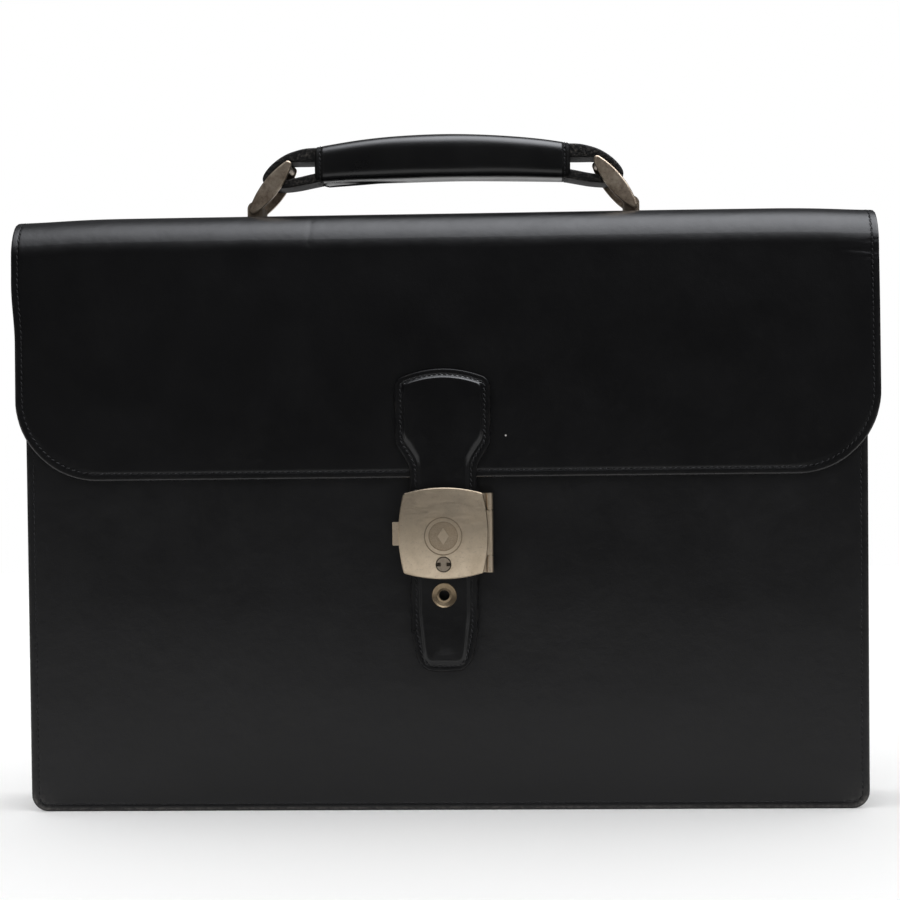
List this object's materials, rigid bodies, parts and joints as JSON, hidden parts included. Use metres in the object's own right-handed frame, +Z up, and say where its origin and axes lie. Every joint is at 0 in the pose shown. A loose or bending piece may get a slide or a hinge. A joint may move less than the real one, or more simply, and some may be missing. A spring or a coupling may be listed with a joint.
{
  "type": "leather briefcase",
  "caption": "Slim black leather briefcase with a fold-over flap, a strap with a hinged metal clasp, and a rolled handle on swinging metal links.",
  "frame": {"origin": "on the surface the case stands on, under the middle of the closed case", "axes": "+X to the right seen from the front, +Y from front to back, +Z up; the flap and clasp face -Y"},
  "size_m": [0.404, 0.073, 0.3192],
  "materials": {
    "leather": "smooth black box calf, semi gloss",
    "inner_leather": "matt black lining leather",
    "lining": "plain dark brown cloth",
    "board": "pressed fibre board",
    "nickel": "satin warm nickel",
    "old_nickel": "dulled antique nickel",
    "brass": "dull brass",
    "cork": "cork and cord filler"
  },
  "bodies": {
    "case": {"front_panel": "leather", "front_board": "board", "front_lining": "lining", "back_panel": "leather", "back_board": "board", "back_lining": "lining", "gusset_left": "leather", "gusset_right": "leather", "gusset_bottom": "leather", "bottom_board": "board", "bottom_lining": "lining", "divider_board": "board", "divider_front_skin": "inner_leather", "divider_rear_skin": "inner_leather", "slip_pocket": "inner_leather", "stud_plate": "nickel", "stud_backing": "nickel", "stud_rivets": "nickel"},
    "spine": {"spine_leather": "leather", "spine_bar": "old_nickel", "spine_lining": "inner_leather", "lug_left": "old_nickel", "lug_right": "old_nickel", "lug_screws": "old_nickel"},
    "flap": {"flap_leather": "leather", "flap_lining": "inner_leather", "strap_liner": "inner_leather", "closure_strap": "leather", "strap_filler": "cork", "eyelet_upper": "brass", "eyelet_washer_upper": "brass", "eyelet_lower": "brass", "eyelet_washer_lower": "brass", "clasp_base": "nickel", "clasp_rivets": "nickel", "hinge_pin": "nickel"},
    "clasp_cover": {"clasp_cover": "nickel", "cover_backplate": "nickel", "spring_stop": "nickel", "tab_spring": "nickel"},
    "release_tab": {"release_tab": "nickel"},
    "key": {"key_cylinder": "nickel", "lock_cam": "nickel"},
    "handle": {"handle_strap": "leather", "grip_wrap": "leather", "grip_core": "cork"},
    "link_left": {"link_left_front_cheek": "old_nickel", "link_left_rear_cheek": "old_nickel", "link_left_lower_pin": "old_nickel", "link_left_upper_pin": "old_nickel"},
    "link_right": {"link_right_front_cheek": "old_nickel", "link_right_rear_cheek": "old_nickel", "link_right_lower_pin": "old_nickel", "link_right_upper_pin": "old_nickel"}
  },
  "joints": [
    {"name": "spine_hinge", "type": "hinge", "parent": "case", "child": "spine", "pos_m": [0, 0.03258, 0.27608], "axis": [-1, 0, 0], "range_deg": [0, 105]},
    {"name": "flap_fold", "type": "hinge", "parent": "spine", "child": "flap", "pos_m": [0, -0.02318, 0.27608], "axis": [-1, 0, 0], "range_deg": [0, 180]},
    {"name": "clasp_hinge", "type": "hinge", "parent": "flap", "child": "clasp_cover", "pos_m": [0.0214, -0.0324, 0.1293], "axis": [0, 0, 1], "range_deg": [0, 100]},
    {"name": "tab_slide", "type": "slide", "parent": "clasp_cover", "child": "release_tab", "axis": [1, 0, 0], "range_m": [0, 0.0018], "stiffness_N_per_m": 300, "springref_m": -0.002, "deforming": ["tab_spring"]},
    {"name": "key_turn", "type": "hinge", "parent": "clasp_cover", "child": "key", "pos_m": [0, -0.0365, 0.115], "axis": [0, -1, 0], "range_deg": [0, 90]},
    {"name": "handle_drop", "type": "slide", "parent": "spine", "child": "handle", "axis": [0, 0, 1], "range_m": [-0.012, 0.0015]},
    {"name": "link_left_turn", "type": "hinge", "parent": "spine", "child": "link_left", "pos_m": [-0.09, 0.0047, 0.2845], "axis": [0, 1, 0], "range_deg": [-6, 38]},
    {"name": "link_right_turn", "type": "hinge", "parent": "spine", "child": "link_right", "pos_m": [0.09, 0.0047, 0.2845], "axis": [0, 1, 0], "range_deg": [-38, 6]}
  ],
  "couplings": [
    {"joint": "link_left_turn", "follows": "handle_drop", "rad_per_m": -54},
    {"joint": "link_right_turn", "follows": "handle_drop", "rad_per_m": 54}
  ]
}
